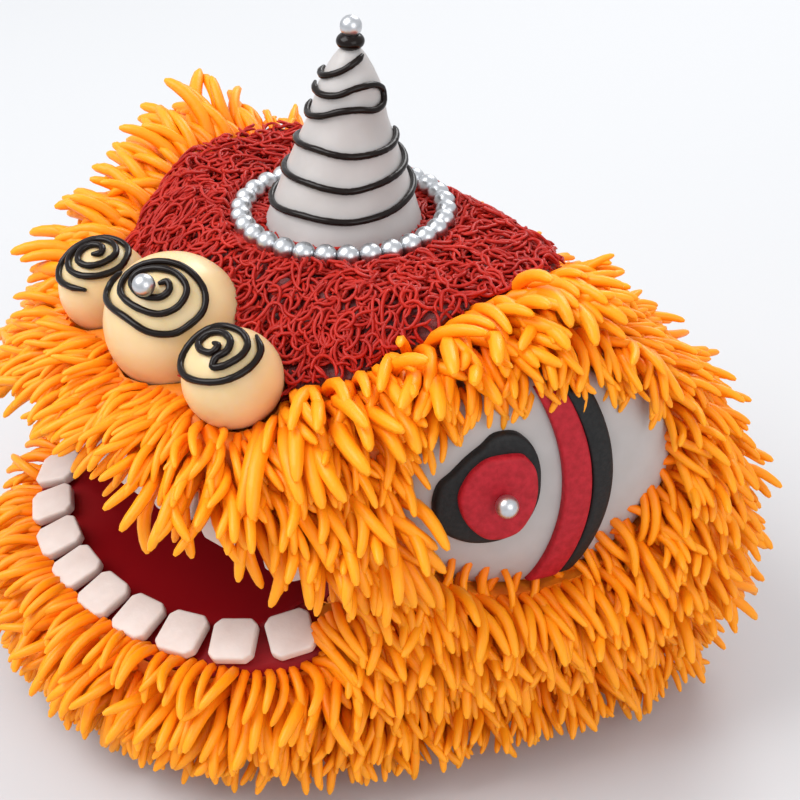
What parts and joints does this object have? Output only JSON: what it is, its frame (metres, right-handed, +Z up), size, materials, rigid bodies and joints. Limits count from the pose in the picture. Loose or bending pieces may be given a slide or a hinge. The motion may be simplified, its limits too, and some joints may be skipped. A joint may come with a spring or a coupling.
{
  "type": "lion dance head cake",
  "caption": "Celebration cake sculpted as a lion dance head: open toothed mouth, piped orange fur, red forehead, domed fondant eyes, ball nose and a horn ringed with sugar pearls.",
  "frame": {"origin": "on the surface that the cake stands on, under the middle of its box", "axes": "+Z up, -Y the way the lion looks, +X the lion's left"},
  "size_m": [0.1634, 0.1398, 0.1274],
  "materials": {
    "sponge_cake": "baked sponge cake under a thin coat of orange buttercream, matte",
    "orange_buttercream": "piped orange buttercream, smooth with a soft sheen",
    "red_icing": "piped dark red buttercream strings, satin",
    "mouth_fondant": "rolled dark red fondant, satin",
    "ivory_fondant": "cut ivory fondant, satin",
    "white_fondant": "rolled white fondant, satin",
    "red_fondant": "rolled red fondant, matte",
    "black_fondant": "rolled black fondant, matte",
    "dark_chocolate": "piped dark chocolate, glossy",
    "white_chocolate": "moulded white chocolate, soft gloss",
    "silver_sugar": "silver sugar pearls, polished"
  },
  "bodies": {
    "root": {"head_cake": "sponge_cake", "jaw_cake": "sponge_cake", "mouth_lining": "mouth_fondant", "forehead_icing": "red_icing", "brow_fur_left": "orange_buttercream", "brow_fur_right": "orange_buttercream", "cheek_fur_left": "orange_buttercream", "cheek_fur_right": "orange_buttercream", "muzzle_fur": "orange_buttercream", "nape_fur": "orange_buttercream", "beard_fur": "orange_buttercream", "eye_white_left": "white_fondant", "eye_red_band_left": "red_fondant", "eye_black_band_left": "black_fondant", "pupil_left": "black_fondant", "iris_left": "red_fondant", "eye_pearl_left": "silver_sugar", "eye_white_right": "white_fondant", "eye_red_band_right": "red_fondant", "eye_black_band_right": "black_fondant", "pupil_right": "black_fondant", "iris_right": "red_fondant", "eye_pearl_right": "silver_sugar", "lower_tooth_1": "ivory_fondant", "lower_tooth_2": "ivory_fondant", "lower_tooth_3": "ivory_fondant", "lower_tooth_4": "ivory_fondant", "lower_tooth_5": "ivory_fondant", "lower_tooth_6": "ivory_fondant", "lower_tooth_7": "ivory_fondant", "lower_tooth_8": "ivory_fondant", "lower_tooth_9": "ivory_fondant", "lower_tooth_10": "ivory_fondant", "upper_tooth_1": "ivory_fondant", "upper_tooth_2": "ivory_fondant", "upper_tooth_3": "ivory_fondant", "upper_tooth_4": "ivory_fondant", "upper_tooth_5": "ivory_fondant", "upper_tooth_6": "ivory_fondant", "upper_tooth_7": "ivory_fondant", "upper_tooth_8": "ivory_fondant", "upper_tooth_9": "ivory_fondant", "horn": "white_fondant", "horn_lower_line": "dark_chocolate", "horn_hairpin_line": "dark_chocolate", "horn_top_line": "dark_chocolate", "horn_knob": "dark_chocolate", "horn_pearl": "silver_sugar", "pearl_ring": "silver_sugar", "nose_ball_middle": "white_chocolate", "nose_spiral_middle": "dark_chocolate", "nose_ball_left": "white_chocolate", "nose_spiral_left": "dark_chocolate", "nose_ball_right": "white_chocolate", "nose_spiral_right": "dark_chocolate", "nose_pearl": "silver_sugar"}
  },
  "joints": []
}
